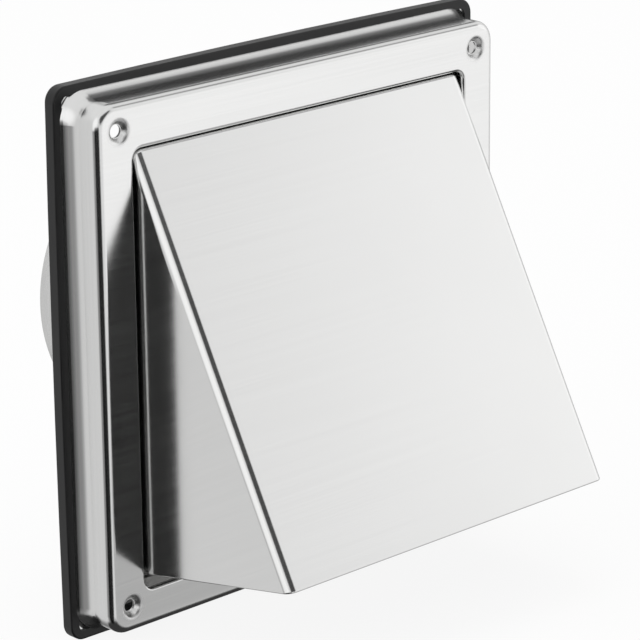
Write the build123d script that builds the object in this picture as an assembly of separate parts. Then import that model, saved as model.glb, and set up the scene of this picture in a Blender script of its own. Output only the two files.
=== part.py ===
import os
from math import cos, radians, tan

from build123d import *

# Exhaust vent hood for an outside wall, for a duct of 100 mm bore.
# Millimetres. X right, Y into the wall, Z up. The origin is on the duct's axis, in the plane of the wall.

# Frame, pressed from one sheet
frame_width = 167.0         # square front
frame_corner = 7.0          # outer corner radius
frame_sheet = 0.8
wall_depth = 14.2           # front face to the seal
front_bend = 1.7            # inside radius of the front edge
side_border = 13.9          # ring width at the sides
top_border = 15.0
bottom_border = 12.5
opening_corner = 3.5
mouth_bend = 0.5            # inside radius where the ring turns in to the recess
recess_depth = 10.0         # front face to the recessed floor
floor_bend = 1.6            # inside radius round the floor
flare_angle = 33.0          # degrees that the side walls turn out at the rear
flare_rise = 2.6            # how far they turn out
flare_bend = 10.0           # radius into the flare
flange_reach = 3.7          # rear flange, out past the front's edge
flange_corner = 6.0
flange_bend = 1.2           # radius between the flare and the flange

# Screw dimples in the ring's corners
hole_inset = 8.5            # hole centre from the frame's outer edges
hole_radius = 2.0
dimple_floor = 0.2          # flat round the hole
dimple_depth = 1.6
dimple_slope = 40.0         # degrees from the hole's axis
dimple_edge = 2.0           # rounding at the ring's face

# Collar that the flap closes on, drawn forward from the floor
seat_depth = 5.0            # front face to the collar's rim
collar_bend = 1.4

# Rubber seal on the flange
seal_thickness = 4.4
seal_skin = 0.7             # rubber in front of the flange
seal_web = 0.5              # rubber outside the flange, at the corners
seal_bow = 0.6              # how far the sides bulge out between the corners
seal_corner = 5.0
seal_lip_corner = 2.0
seal_front_lip = 3.0        # width of the lip on the front
seal_back_lip = 6.0         # width of the lip on the wall side
seal_round = 0.6

# Hood, folded from one sheet
hood_sheet = 0.7
hood_gap = 1.0              # each cheek to the side of the opening
hood_top_gap = 0.5
hood_reach = 64.2           # front lower edge, in front of the ring
hood_drop = 54.3            # front lower edge, below the duct's axis
cheek_rise = 10.6           # degrees that the cheeks' lower edges climb to the front
shoulder_depth = 1.2        # bend between top and slope, behind the ring's face
hood_bend = 2.3             # inside radius of the bends
shoulder_bend = 0.8         # the same between top and slope
side_flange = 8.0           # flanges that lie on the recessed floor
bracket_gap = 0.5           # top flange to the hinge bracket below it
hem_height = 5.0            # lower edge folded back inside
hem_round = 0.5

# Duct spigot
spigot_radius = 49.5
spigot_sheet = 0.6
spigot_reach = 54.0         # behind the wall plane
spigot_flange = 7.0
spigot_bend = 1.5

# Back-draught flap and its hinge
flap_sheet = 0.6
flap_gap = 0.3              # closed flap to the collar's rim
flap_overlap = 2.3          # flap past the collar
hinge_rise = 2.5            # pin above the flap's round edge
knuckle_outer = 29.2        # knuckles, out from the middle
knuckle_inner = 14.0
roll_gap = 1.0              # end of the roll to the sheet, behind the pin
pin_radius = 1.0
pin_play = 0.05             # radial
pin_head = 1.7
pin_head_length = 0.8
bracket_sheet = 0.8
bracket_side_play = 0.4     # knuckle to ear
bracket_bend = 0.6
ear_reach = 2.4             # ear past the pin
ear_low = 2.6               # ear below the pin
ear_high = 3.4              # ear above the pin

# Depths, from the wall plane
front = -(wall_depth + seal_thickness)
flange_front = seal_skin - seal_thickness
flange_back = flange_front + frame_sheet
floor_front = front + recess_depth
floor_back = floor_front + frame_sheet
seat = front + seat_depth

# Opening in the ring
frame_half = frame_width / 2
opening_half = frame_half - side_border
opening_top = frame_half - top_border
opening_bottom = bottom_border - frame_half
opening_middle = (opening_top + opening_bottom) / 2
opening_size = (2 * opening_half, opening_top - opening_bottom)

bore_radius = spigot_radius - spigot_sheet
collar_radius = bore_radius + frame_sheet
flange_half = frame_half + flange_reach
flare_base = frame_half + flare_rise

# Hinge, placed from the flap
flap_back = seat - flap_gap
flap_front = flap_back - flap_sheet
flap_radius = collar_radius + flap_overlap
knuckle_bore = pin_radius + pin_play
knuckle_radius = knuckle_bore + flap_sheet
hinge_depth = flap_front + knuckle_radius
hinge_height = flap_radius + hinge_rise
ear_inside = knuckle_outer + bracket_side_play
ear_outside = ear_inside + bracket_sheet

past = 1.0                  # how far a cutting block runs out of the sheet
near = 0.01                 # tolerance when an edge is picked by its place


def front_plane(depth, x=0.0, z=0.0):
    """Plane across the duct at a depth, with Z up in it, facing the front."""
    return Plane(origin=(x, depth, z), x_dir=(1, 0, 0), z_dir=(0, -1, 0))


def slab(size, corner, rear, fore, middle=0.0):
    """Block with a rounded rectangle as its front view, between two depths."""
    outline = front_plane(rear, z=middle) * RectangleRounded(size[0], size[1], corner)
    return extrude(outline, amount=rear - fore)


def disc(radius, rear, fore):
    """Round block on the duct's axis, between two depths."""
    return extrude(front_plane(rear) * Circle(radius), amount=rear - fore)


def edges_at(shape, depth, half=None):
    """Edges that lie across the duct at a depth, within half a width of the middle."""
    found = shape.edges().filter_by_position(Axis.Y, depth - near, depth + near)
    if half is None:
        return found
    return found.filter_by(lambda e: max(abs(e.center().X), abs(e.center().Z)) < half)


def grown(size, amount):
    return (size[0] + 2 * amount, size[1] + 2 * amount)


def screw_points():
    reach = frame_half - hole_inset
    return [(x, z) for x in (-reach, reach) for z in (-reach, reach)]


def dimple(depth, small, point):
    """Cone that widens towards the front, with its small end at a depth."""
    large = small + dimple_depth * tan(radians(dimple_slope))
    cone = Cone(small, large, dimple_depth, align=(Align.CENTER, Align.CENTER, Align.MIN))
    return front_plane(depth, *point) * cone


def pan(inset, fore):
    """Block within the side walls, an inset inside their outer surface, flaring out at its rear."""
    turn = radians(flare_angle)
    width = frame_width - 2 * inset
    block = slab((width, width), frame_corner - inset, flange_back, fore)
    spread = flare_rise + frame_sheet * tan(turn) - inset / cos(turn)
    base = frame_width + 2 * spread
    depth = (spread + inset) / tan(turn)
    outline = front_plane(flange_back) * RectangleRounded(base, base, frame_corner + spread)
    block += extrude(outline, amount=depth + past, taper=flare_angle)
    return fillet(edges_at(block, flange_back - depth), flare_bend + inset)


def front_block():
    """Block inside the frame's front surface, from the ring back to the rear flange."""
    outer = pan(0.0, front)
    outer = fillet(edges_at(outer, front), front_bend + frame_sheet)
    recess = slab(opening_size, opening_corner, floor_front, front, opening_middle)
    recess = fillet(edges_at(recess, floor_front), floor_bend)
    outer -= recess
    outer = fillet(edges_at(outer, front, opening_half + past), mouth_bend + frame_sheet)
    outer += disc(collar_radius, floor_front, seat)
    outer = fillet(edges_at(outer, floor_front, collar_radius + past), collar_bend)
    small = hole_radius + dimple_floor
    large = small + dimple_depth * tan(radians(dimple_slope))
    for point in screw_points():
        outer -= dimple(front + dimple_depth, small, point)
    rims = edges_at(outer, front).filter_by(GeomType.CIRCLE)
    outer = fillet(rims.filter_by(lambda e: abs(e.radius - large) < near), dimple_edge)
    flange_size = (2 * flange_half, 2 * flange_half)
    outer += slab(flange_size, flange_corner, flange_back, flange_front)
    bends = edges_at(outer, flange_front, flare_base + near).filter_by(GeomType.LINE)
    return fillet(bends, flange_bend)


def back_block():
    """Block inside the frame's back surface, one sheet behind the front surface."""
    hollow = pan(frame_sheet, front + frame_sheet)
    hollow = fillet(edges_at(hollow, front + frame_sheet), front_bend)
    cup = slab(
        grown(opening_size, frame_sheet), opening_corner + frame_sheet, floor_back, front, opening_middle
    )
    cup = fillet(edges_at(cup, floor_back), floor_bend + frame_sheet)
    hollow -= cup
    hollow = fillet(edges_at(hollow, front + frame_sheet, opening_half + 2 * frame_sheet), mouth_bend)
    small = hole_radius + dimple_floor + frame_sheet * tan(radians(90 - dimple_slope) / 2)
    for point in screw_points():
        hollow -= dimple(front + dimple_depth + frame_sheet, small, point)
    return hollow


def make_frame():
    """Pressed sheet: what lies between its front surface and its back surface."""
    frame = front_block() - back_block()
    bends = edges_at(frame, flange_back, flare_base).filter_by(GeomType.LINE)
    frame = fillet(bends, flange_bend + frame_sheet)
    frame -= disc(bore_radius, floor_back, seat)
    frame = fillet(edges_at(frame, floor_back, bore_radius + near), collar_bend + frame_sheet)
    for point in screw_points():
        hole = front_plane(front + dimple_depth + frame_sheet, *point) * Circle(hole_radius)
        frame -= extrude(hole, amount=dimple_depth + frame_sheet)
    return frame


def hood_block(inset, lift):
    """Wedge an inset within the hood's outer surface, with its bends rounded.

    Its underside is level with the hood's lower edges, or a lift above them. The rear is one sheet thick.
    """
    half_width = opening_half - hood_gap - inset
    top = opening_top - hood_top_gap
    fore, low = front - hood_reach, -hood_drop
    rear = floor_front - min(inset, hood_sheet)
    lean = (front + shoulder_depth - fore) / (top - low)
    rise = tan(radians(cheek_rise))
    inward = inset * (1 + lean ** 2) ** 0.5
    fore_up = (lift - inward * rise) / (1 + lean * rise)

    def slope(z):
        return fore + (z - low) * lean + inward

    profile = Plane.YZ.offset(-half_width) * make_face(
        Polyline(
            (rear, top - inset),
            (slope(top - inset), top - inset),
            (slope(low + fore_up), low + fore_up),
            (rear, low + lift - (rear - fore) * rise),
            close=True,
        )
    )
    block = extrude(profile, amount=2 * half_width)
    underside = block.faces().sort_by(Axis.Z)[0].edges()
    shoulder = block.edges().filter_by(Axis.X).sort_by(Axis.Z)[-2:].sort_by(Axis.Y)[0]
    bends = [e for e in block.edges() if e not in underside and e != shoulder]
    block = fillet(bends, hood_bend + hood_sheet - inset)
    middle = block.edges().filter_by(Axis.X).sort_by_distance(shoulder.center())[0]
    return fillet(middle, shoulder_bend + max(hood_sheet - inset, 0.0))


def make_hood():
    """Folded sheet, open below with a hem round the edge, and with flanges on the recessed floor."""
    hood = hood_block(0.0, 0.0)
    hood -= hood_block(hood_sheet, hem_height)
    hood -= hood_block(2 * hood_sheet, -past)
    underside = hood.faces().filter_by(lambda f: f.normal_at().Z < -near).sort_by(Axis.Z)[0]
    hood = hood.fillet(hem_round, underside.outer_wire().edges())
    window_half = opening_half - hood_gap - side_flange
    window_top = hinge_height + ear_high + bracket_gap
    below = (Align.CENTER, Align.CENTER, Align.MAX)
    window = Box(2 * window_half, 2 * (hood_sheet + past), 2 * frame_half, align=below)
    return hood - Pos(0, floor_front, window_top) * window


def bowed_face(half, corner):
    """Square with sides that bow outwards between its rounded corners."""
    bowed = half + seal_bow
    sides = [
        ThreePointArc((-half, half), (0, bowed), (half, half)),
        ThreePointArc((half, half), (bowed, 0), (half, -half)),
        ThreePointArc((half, -half), (0, -bowed), (-half, -half)),
        ThreePointArc((-half, -half), (-bowed, 0), (-half, half)),
    ]
    face = make_face(sides)
    return fillet(face.vertices(), corner)


def make_seal():
    """Rubber channel pushed on the flange, with a narrow lip on the front that fits the bend."""
    half = flange_half + seal_web
    seal = extrude(front_plane(0) * bowed_face(half, seal_corner), amount=seal_thickness)
    seal = fillet(edges_at(seal, -seal_thickness) + edges_at(seal, 0), seal_round)
    mouth = front_plane(flange_back) * bowed_face(half - seal_front_lip, seal_lip_corner)
    seal -= extrude(mouth, amount=flange_back + seal_thickness + past)
    seal -= front_block()
    back_lip = 2 * (half - seal_back_lip)
    return seal - slab((back_lip, back_lip), seal_lip_corner, past, flange_back)


def make_spigot():
    """Rolled tube with its front end turned out into a flange on the back of the floor."""
    flange_end = floor_back + spigot_sheet
    spigot = disc(spigot_radius, spigot_reach, floor_back)
    spigot += disc(spigot_radius + spigot_flange, flange_end, floor_back)
    spigot -= disc(bore_radius, spigot_reach, floor_back)
    spigot = fillet(edges_at(spigot, floor_back).sort_by(SortBy.RADIUS)[0], spigot_bend + spigot_sheet)
    return fillet(edges_at(spigot, flange_end).sort_by(SortBy.RADIUS)[0], spigot_bend)


def rod(radius, half_length):
    """Round bar along the hinge's axis."""
    return Plane(origin=(-half_length, hinge_depth, hinge_height), z_dir=(1, 0, 0)) * Cylinder(
        radius, 2 * half_length, align=(Align.CENTER, Align.CENTER, Align.MIN)
    )


def make_flap():
    """Round sheet with two rolled knuckles on its upper edge."""
    flap = disc(flap_radius, flap_back, flap_front)
    tab = Rectangle(2 * knuckle_outer, hinge_height, align=(Align.CENTER, Align.MIN))
    flap += extrude(front_plane(flap_back) * tab, amount=flap_sheet)
    flap += rod(knuckle_radius, knuckle_outer)
    flap -= rod(knuckle_bore, knuckle_outer + past)
    # The roll stops short of the sheet, behind the pin
    slit = Box(2 * knuckle_outer, knuckle_radius, roll_gap, align=(Align.CENTER, Align.MIN, Align.MAX))
    flap -= Pos(0, flap_back, hinge_height - pin_radius) * slit
    # Between the knuckles the sheet keeps its round edge and the pin is bare
    notch = Box(2 * knuckle_inner, 2 * (knuckle_radius + past), 2 * (hinge_rise + knuckle_radius))
    return flap - Pos(0, hinge_depth, hinge_height) * notch


def make_pin():
    """Plain pin, upset to a low head outside each ear."""
    pin = rod(pin_radius, ear_outside + pin_play + pin_head_length)
    heads = rod(pin_head, ear_outside + pin_play + pin_head_length) - rod(pin_head, ear_outside + pin_play)
    return pin + heads


def make_bracket():
    """Strip on the recessed floor with an ear bent forward at each end."""
    low = hinge_height - ear_low
    height = ear_low + ear_high
    tip = hinge_depth - ear_reach
    corner = (Align.CENTER, Align.MAX, Align.MIN)
    bracket = Pos(0, floor_front, low) * Box(2 * ear_outside, floor_front - tip, height, align=corner)
    tips = bracket.edges().filter_by(Axis.X).filter_by_position(Axis.Y, tip - near, tip + near)
    bracket = fillet(tips, ear_reach)
    room = Box(2 * ear_inside, floor_front - tip, 2 * height)
    middle = (tip + floor_front) / 2 - bracket_sheet
    bracket -= Pos(0, middle, hinge_height) * fillet(
        room.edges().filter_by(Axis.Z).sort_by(Axis.Y)[-2:], bracket_bend
    )
    bends = edges_at(bracket, floor_front).filter_by(Axis.Z)
    bracket = fillet(bends, bracket_bend + bracket_sheet)
    return bracket - rod(knuckle_bore, ear_outside + past)


parts = {
    "frame": make_frame(),
    "hood": make_hood(),
    "wall_seal": make_seal(),
    "spigot": make_spigot(),
    "flap": make_flap(),
    "hinge_pin": make_pin(),
    "hinge_bracket": make_bracket(),
}

os.makedirs("parts", exist_ok=True)
for name, shape in parts.items():
    export_step(shape, f"parts/{name}.step")
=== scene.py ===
import math

import bpy
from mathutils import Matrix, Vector


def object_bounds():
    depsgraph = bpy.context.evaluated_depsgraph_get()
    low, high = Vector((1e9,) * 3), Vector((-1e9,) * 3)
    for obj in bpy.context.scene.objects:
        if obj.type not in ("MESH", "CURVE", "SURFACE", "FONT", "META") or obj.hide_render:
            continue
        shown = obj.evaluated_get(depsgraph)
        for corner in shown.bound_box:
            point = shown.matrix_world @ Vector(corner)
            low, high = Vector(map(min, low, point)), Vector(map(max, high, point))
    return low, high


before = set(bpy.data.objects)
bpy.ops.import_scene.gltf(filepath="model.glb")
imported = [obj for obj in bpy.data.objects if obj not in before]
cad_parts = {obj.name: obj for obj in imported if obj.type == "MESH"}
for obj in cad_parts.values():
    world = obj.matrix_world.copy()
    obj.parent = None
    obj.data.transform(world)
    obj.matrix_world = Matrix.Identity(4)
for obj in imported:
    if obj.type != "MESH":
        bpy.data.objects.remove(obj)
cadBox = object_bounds()
print("frame loaded:", sorted(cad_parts))

scene = bpy.context.scene
scene.view_settings.view_transform = "Standard"

# Camera, from a fit of the frame's and the hood's edges; the image is 640 by 640
cameraSettings = {
    "spot": (-0.67274, -0.7388, 0.31641),
    "turn": (72.209, 0.56, -43.441),   # degrees about X, Y and Z
    "lens": 185.19,                    # mm
    "sensor": 36.0,                    # mm, square
    "reach": 20.0,                     # metres to the far clip
}


def makeCamera():
    data = bpy.data.cameras.new("camera")
    data.lens = cameraSettings["lens"]
    data.sensor_width = cameraSettings["sensor"]
    data.sensor_height = cameraSettings["sensor"]
    data.clip_end = cameraSettings["reach"]
    eye = bpy.data.objects.new("camera", data)
    eye.location = cameraSettings["spot"]
    eye.rotation_euler = [math.radians(a) for a in cameraSettings["turn"]]
    scene.collection.objects.link(eye)
    scene.camera = eye


# Small helpers for node trees
def addNode(tree, kind, **settings):
    node = tree.nodes.new(kind)
    for name, value in settings.items():
        setattr(node, name, value)
    return node


def mathNode(tree, operation, a, b=None):
    node = addNode(tree, "ShaderNodeMath", operation=operation)
    for socket, value in zip(node.inputs, (a, b)):
        if value is None:
            continue
        if isinstance(value, (int, float)):
            socket.default_value = value
        else:
            tree.links.new(value, socket)
    return node.outputs[0]


def rampNode(tree, value, low, high, toLow=0.0, toHigh=1.0):
    node = addNode(tree, "ShaderNodeMapRange", interpolation_type="SMOOTHSTEP")
    tree.links.new(value, node.inputs["Value"])
    for name, number in (("From Min", low), ("From Max", high), ("To Min", toLow), ("To Max", toHigh)):
        node.inputs[name].default_value = number
    return node.outputs["Result"]


def noiseNode(tree, vector, scale, detail=2.0):
    node = addNode(tree, "ShaderNodeTexNoise")
    node.inputs["Scale"].default_value = scale
    node.inputs["Detail"].default_value = detail
    tree.links.new(vector, node.inputs["Vector"])
    return node.outputs["Fac"]


def splitNode(tree, vector):
    node = addNode(tree, "ShaderNodeSeparateXYZ")
    tree.links.new(vector, node.inputs[0])
    return node.outputs


def mixShaders(tree, share, first, second, out):
    mix = addNode(tree, "ShaderNodeMixShader")
    for socket, source in zip(mix.inputs, (share, first, second)):
        tree.links.new(source, socket)
    tree.links.new(mix.outputs[0], out.inputs["Surface"])


def mixValues(tree, share, first, second):
    node = addNode(tree, "ShaderNodeMix")
    for index, source in ((0, share), (2, first), (3, second)):   # factor and the two numbers
        tree.links.new(source, node.inputs[index])
    return node.outputs[0]


def mixColours(tree, share, first, second):
    node = addNode(tree, "ShaderNodeMix", data_type="RGBA")
    tree.links.new(share, node.inputs[0])
    for index, colour in ((6, first), (7, second)):   # the two colours of this kind of mix
        node.inputs[index].default_value = (*colour, 1.0)
    return node.outputs[2]


def addBump(tree, bsdf, height, distance, strength):
    bump = addNode(tree, "ShaderNodeBump")
    bump.inputs["Distance"].default_value = distance
    bump.inputs["Strength"].default_value = strength
    tree.links.new(height, bump.inputs["Height"])
    tree.links.new(bump.outputs[0], bsdf.inputs["Normal"])


# The studio: pale all round, with brighter panels and soft dark flags for the steel to reflect.
# Each is a direction, the half-angles of its core and its soft rim in degrees, the share of light in
# it and, where it ends at a height, the heights at which it starts and is full.
studio = {
    "level": 0.85,
    "cards": {
        "rightPanel": ((0.86, -0.44, 0.26), 13, 22, 1.35, None),
        "frontRightLow": ((0.655, -0.692, -0.304), 14, 30, 1.26, None),
        "leftPanel": ((-0.92, -0.10, 0.16), 20, 42, 1.30, (-0.20, 0.0)),
        "leftRear": ((-0.655, 0.692, -0.304), 25, 50, 0.86, None),
        "leftLow": ((-0.95, -0.05, -0.31), 14, 34, 0.35, (-0.06, -0.24)),
        "leftFrontLow": ((-0.76, -0.57, -0.32), 25, 37, 0.02, (0.10, -0.10)),
        "frontHigh": ((-0.05, -0.87, 0.49), 22, 32, 0.08, (0.69, 0.62)),
        "backHigh": ((0.58, 0.53, 0.61), 7, 21, 0.18, None),
        "panelGap": ((0.65, -0.40, 0.64), 3, 11, 0.35, None),
        "behindRight": ((0.76, 0.62, -0.22), 16, 30, 0.08, None),
        "below": ((0.10, -0.10, -1.0), 46, 62, 0.05, None),
    },
}


def towards(tree, vector, direction):
    # Cosine of the angle between a vector and a fixed direction
    node = addNode(tree, "ShaderNodeVectorMath", operation="DOT_PRODUCT")
    tree.links.new(vector, node.inputs[0])
    node.inputs[1].default_value = Vector(direction).normalized()
    return node.outputs["Value"]


def makeWorld():
    world = bpy.data.worlds.new("studio")
    scene.world = world
    world.use_nodes = True
    tree = world.node_tree
    tree.nodes.clear()
    coords = addNode(tree, "ShaderNodeTexCoord").outputs["Generated"]
    height = splitNode(tree, coords)["Z"]
    level = addNode(tree, "ShaderNodeValue").outputs[0]
    level.default_value = studio["level"]
    for direction, core, rim, share, ends in studio["cards"].values():
        near, far = math.cos(math.radians(core)), math.cos(math.radians(rim))
        mask = rampNode(tree, towards(tree, coords, direction), far, near)
        if ends:
            mask = mathNode(tree, "MULTIPLY", mask, rampNode(tree, height, *ends))
        shade = mathNode(tree, "ADD", 1.0, mathNode(tree, "MULTIPLY", mask, share - 1.0))
        level = mathNode(tree, "MULTIPLY", level, shade)

    # The camera sees plain white behind the object
    seen = addNode(tree, "ShaderNodeBackground")
    seen.inputs["Strength"].default_value = 1.0
    around = addNode(tree, "ShaderNodeBackground")
    tree.links.new(level, around.inputs["Strength"])
    for background in (seen, around):
        background.inputs["Color"].default_value = (1.0, 1.0, 1.0, 1.0)
    path = addNode(tree, "ShaderNodeLightPath")
    out = addNode(tree, "ShaderNodeOutputWorld")
    mixShaders(tree, path.outputs["Is Camera Ray"], around.outputs[0], seen.outputs[0], out)


lamp = {"name": "overhead", "spot": (0.15, 0.25, 1.5), "size": 1.2, "power": 6.0}


def makeLamp():
    data = bpy.data.lights.new(lamp["name"], "AREA")
    data.shape = "DISK"
    data.size = lamp["size"]
    data.energy = lamp["power"]
    holder = bpy.data.objects.new(lamp["name"], data)
    holder.location = lamp["spot"]
    holder.visible_glossy = False   # the steel reflects the studio's panels, not this disk
    holder.rotation_euler = (-Vector(lamp["spot"])).to_track_quat("-Z", "Y").to_euler()
    scene.collection.objects.link(holder)


# The wide floor is what the camera sees. In its place the steel reflects a grey glowing patch just in front
# of the frame:
# painted shade that stands in for the floor shaded under the hood. It ends softly on each side: an axis,
# where it starts and where it is full, in metres.
floorSettings = {"half": 3.0, "gap": 0.0001, "colour": 0.9, "glow": 0.9}
floorShadePatch = {
    "level": 0.5,
    "ends": (("X", -0.078, -0.068), ("X", 0.22, 0.12), ("Y", -0.026, -0.034), ("Y", -0.22, -0.14)),
}


def flatStage(name, left, right, fore, rear):
    z = cadBox[0][2] - floorSettings["gap"]
    mesh = bpy.data.meshes.new(name)
    corners = [(left, fore, z), (right, fore, z), (right, rear, z), (left, rear, z)]
    mesh.from_pydata(corners, [], [(0, 1, 2, 3)])
    thing = bpy.data.objects.new(name, mesh)
    scene.collection.objects.link(thing)
    material = bpy.data.materials.new(name)
    material.use_nodes = True
    material.node_tree.nodes.clear()
    mesh.materials.append(material)
    return thing, material.node_tree


def makeFloor():
    half = floorSettings["half"]
    floor, tree = flatStage("floor", -half, half, -half, half)
    floor.visible_glossy = False
    plain = addNode(tree, "ShaderNodeBsdfDiffuse")
    plain.inputs["Color"].default_value = (*[floorSettings["colour"]] * 3, 1.0)
    glow = addNode(tree, "ShaderNodeEmission")
    path = addNode(tree, "ShaderNodeLightPath")
    share = mathNode(tree, "MULTIPLY", path.outputs["Is Camera Ray"], floorSettings["glow"])
    mixShaders(tree, share, plain.outputs[0], glow.outputs[0], addNode(tree, "ShaderNodeOutputMaterial"))


def makeFloorShadePatch():
    left, right, rear, fore = [start for axis, start, full in floorShadePatch["ends"]]
    patch, tree = flatStage("floorShadePatch", left, right, fore, rear)
    patch.visible_camera = False
    patch.visible_diffuse = False
    patch.visible_shadow = False
    # A fixed grey glow, painted shade of the floor under the hood, seen only in the steel's reflections
    shadeGlow = addNode(tree, "ShaderNodeEmission")
    shadeGlow.inputs["Strength"].default_value = floorShadePatch["level"]
    clear = addNode(tree, "ShaderNodeBsdfTransparent")
    place = splitNode(tree, addNode(tree, "ShaderNodeTexCoord").outputs["Object"])
    share = None
    for axis, start, full in floorShadePatch["ends"]:
        ramp = rampNode(tree, place[axis], start, full)
        share = mathNode(tree, "MULTIPLY", share, ramp) if share else ramp
    mixShaders(tree, share, clear.outputs[0], shadeGlow.outputs[0], addNode(tree, "ShaderNodeOutputMaterial"))


# Brushed stainless. The grain is noise drawn out along the brushing: fine lines, wider bands and faint
# smears. Where the sheet turns to face sideways, the brushing follows a second direction, in degrees.
frameSteel = {
    "name": "frameStainless", "colour": (0.80, 0.80, 0.795), "roughness": 0.17, "roughSpread": 0.018,
    "shade": 0.022, "sideAlong": (0, 90, 0),
}
hoodSteel = {
    "name": "hoodStainless", "colour": (0.80, 0.80, 0.795), "roughness": 0.16, "roughSpread": 0.02,
    "shade": 0.013, "sideAlong": (0, 28, 90),
}
# A darker, rougher copy of the stainless for the parts inside the hood: its darker colour is painted shade
shadedInnerSteel = {
    "name": "shadedInnerStainless", "colour": (0.72, 0.72, 0.715), "roughness": 0.24, "roughSpread": 0.05,
    "shade": 0.05, "sideAlong": (0, 90, 0),
}
grain = {
    "along": (0, 0, 0), "sideways": (0.45, 0.85),                   # degrees; share of X in the normal
    "long": 9.0, "fine": 2600.0, "band": 420.0, "smear": 28.0,      # waves in a metre
    "fineShare": 0.6, "bandShare": 0.4,
    "lineEdges": (0.3, 0.7), "smearEdges": (0.35, 0.75),            # where the noise starts and is full
    "bump": 0.00001, "bumpStrength": 0.35,                          # metres
}
dimples = {"spot": 0.075, "inner": 0.0040, "outer": 0.0050, "dull": 0.16}   # metres; added roughness


def streaks(tree, coords, turn, cross):
    # Noise squeezed across the brushing; the turn in degrees brings the brushing onto X
    mapping = addNode(tree, "ShaderNodeMapping", vector_type="TEXTURE")
    mapping.inputs["Rotation"].default_value = [math.radians(a) for a in turn]
    mapping.inputs["Scale"].default_value = (1 / grain["long"], 1 / cross, 1 / cross)
    tree.links.new(coords, mapping.inputs["Vector"])
    return noiseNode(tree, mapping.outputs[0], 1.0)


def dimpleMask(tree, coords):
    # Distance in the front view to the nearest of four points, one in each quarter
    quarter = addNode(tree, "ShaderNodeVectorMath", operation="ABSOLUTE")
    tree.links.new(coords, quarter.inputs[0])
    flat = addNode(tree, "ShaderNodeVectorMath", operation="MULTIPLY")
    tree.links.new(quarter.outputs[0], flat.inputs[0])
    flat.inputs[1].default_value = (1.0, 0.0, 1.0)
    away = addNode(tree, "ShaderNodeVectorMath", operation="DISTANCE")
    tree.links.new(flat.outputs[0], away.inputs[0])
    away.inputs[1].default_value = (dimples["spot"], 0.0, dimples["spot"])
    return rampNode(tree, away.outputs["Value"], dimples["inner"], dimples["outer"], dimples["dull"], 0.0)


def brushedSteel(steel):
    material = bpy.data.materials.new(steel["name"])
    material.use_nodes = True
    tree = material.node_tree
    bsdf = tree.nodes["Principled BSDF"]
    bsdf.inputs["Metallic"].default_value = 1.0
    texture = addNode(tree, "ShaderNodeTexCoord")
    coords = texture.outputs["Object"]
    facing = mathNode(tree, "ABSOLUTE", splitNode(tree, texture.outputs["Normal"])["X"])
    sideways = rampNode(tree, facing, *grain["sideways"])

    def brushing(cross):
        front = streaks(tree, coords, grain["along"], cross)
        side = streaks(tree, coords, steel["sideAlong"], cross)
        return mixValues(tree, sideways, front, side)

    fine, band = brushing(grain["fine"]), brushing(grain["band"])
    fineLines = mathNode(tree, "MULTIPLY", fine, grain["fineShare"])
    lines = mathNode(tree, "ADD", fineLines, mathNode(tree, "MULTIPLY", band, grain["bandShare"]))
    dark = [c * (1 - steel["shade"]) for c in steel["colour"]]
    light = [min(1.0, c * (1 + steel["shade"])) for c in steel["colour"]]
    tint = mixColours(tree, rampNode(tree, lines, *grain["lineEdges"]), dark, light)
    tree.links.new(tint, bsdf.inputs["Base Color"])

    spread = steel["roughSpread"]
    smooth, coarse = steel["roughness"] - spread, steel["roughness"] + spread
    rough = rampNode(tree, lines, *grain["lineEdges"], smooth, coarse)
    smear = rampNode(tree, noiseNode(tree, coords, grain["smear"]), *grain["smearEdges"], 0.0, spread)
    for more in (smear, dimpleMask(tree, coords)):
        rough = mathNode(tree, "ADD", rough, more)
    tree.links.new(rough, bsdf.inputs["Roughness"])
    addBump(tree, bsdf, fine, grain["bump"], grain["bumpStrength"])
    return material


# Black rubber with a fine moulded skin and a little bloom
rubber = {
    "name": "sealRubber", "colour": (0.004, 0.004, 0.0044), "dusty": (0.009, 0.009, 0.0094),
    "cloud": 60.0, "cloudDetail": 4.0, "skin": 900.0,               # waves in a metre
    "dustEdges": (0.35, 0.7), "roughEdges": (0.3, 0.7),             # where the noise starts and is full
    "roughness": (0.37, 0.50),
    "specular": 0.4, "sheen": 0.2, "sheenRoughness": 0.35,
    "bump": 0.00004, "bumpStrength": 0.4,                           # metres
}


def blackRubber():
    material = bpy.data.materials.new(rubber["name"])
    material.use_nodes = True
    tree = material.node_tree
    bsdf = tree.nodes["Principled BSDF"]
    bsdf.inputs["Specular IOR Level"].default_value = rubber["specular"]
    bsdf.inputs["Sheen Weight"].default_value = rubber["sheen"]
    bsdf.inputs["Sheen Roughness"].default_value = rubber["sheenRoughness"]
    coords = addNode(tree, "ShaderNodeTexCoord").outputs["Object"]
    cloud = noiseNode(tree, coords, rubber["cloud"], rubber["cloudDetail"])
    dust = rampNode(tree, cloud, *rubber["dustEdges"])
    tree.links.new(mixColours(tree, dust, rubber["colour"], rubber["dusty"]), bsdf.inputs["Base Color"])
    rough = rampNode(tree, cloud, *rubber["roughEdges"], *rubber["roughness"])
    tree.links.new(rough, bsdf.inputs["Roughness"])
    skin = noiseNode(tree, coords, rubber["skin"])
    addBump(tree, bsdf, skin, rubber["bump"], rubber["bumpStrength"])
    return material


makeCamera()
makeWorld()
makeLamp()
makeFloor()
makeFloorShadePatch()
print("camera, studio and floor made")

finishes = {
    "frame": brushedSteel(frameSteel), "hood": brushedSteel(hoodSteel), "wall_seal": blackRubber(),
}
# Every other node gets the darker steel, painted shade for the parts inside the hood
shadedInside = brushedSteel(shadedInnerSteel)
for nodeName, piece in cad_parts.items():
    for slot in piece.material_slots:
        slot.material = finishes.get(nodeName, shadedInside)
print("finishes set on", len(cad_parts), "nodes")
